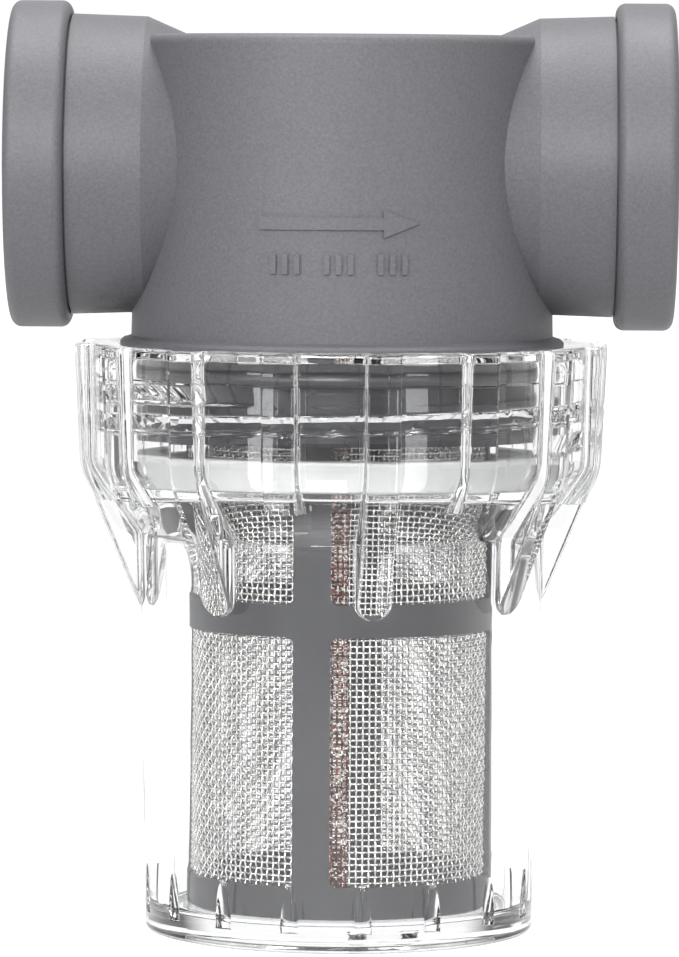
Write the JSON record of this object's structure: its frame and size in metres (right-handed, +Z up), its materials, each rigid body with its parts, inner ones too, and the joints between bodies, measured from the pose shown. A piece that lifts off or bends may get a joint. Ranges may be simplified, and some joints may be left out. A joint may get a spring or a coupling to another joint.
{
  "type": "inline water filter",
  "caption": "Inline water filter: tee head with two threaded pipe ports, a screw-on clear bowl with outside ribs, and a woven mesh screen in a moulded cage.",
  "frame": {"origin": "centre of the bowl's foot, on the plane it stands on, on the bowl's axis", "axes": "+Z up along the bowl's axis; ports along X with the inlet at -X and the outlet at +X; -Y is the front, with the flow arrow"},
  "size_m": [0.0682, 0.055, 0.096],
  "materials": {
    "head_plastic": "fine matte grain",
    "collar_plastic": "fine matte grain",
    "o_ring_rubber": "smooth",
    "clear_bowl": "clear moulded polycarbonate",
    "gasket_silicone": "satin",
    "cage_plastic": "satin",
    "mesh_steel": "bright drawn wire"
  },
  "bodies": {
    "head": {"head_body": "head_plastic", "inlet_collar": "collar_plastic", "outlet_collar": "collar_plastic", "bowl_o_ring": "o_ring_rubber"},
    "screen": {"screen_cage": "cage_plastic", "screen_mesh": "mesh_steel"},
    "bowl": {"bowl": "clear_bowl", "bowl_gasket": "gasket_silicone"}
  },
  "joints": [
    {"name": "screen_drop", "type": "slide", "parent": "head", "child": "screen", "axis": [0, 0, -1], "range_m": [0, 0.0068]},
    {"name": "bowl_turn", "type": "hinge", "parent": "screen", "child": "bowl", "pos_m": [0, 0, 0.03], "axis": [0, 0, -1], "range_deg": [0, 810]}
  ],
  "couplings": [
    {"joint": "screen_drop", "follows": "bowl_turn", "m_per_rad": 0.00047746}
  ]
}
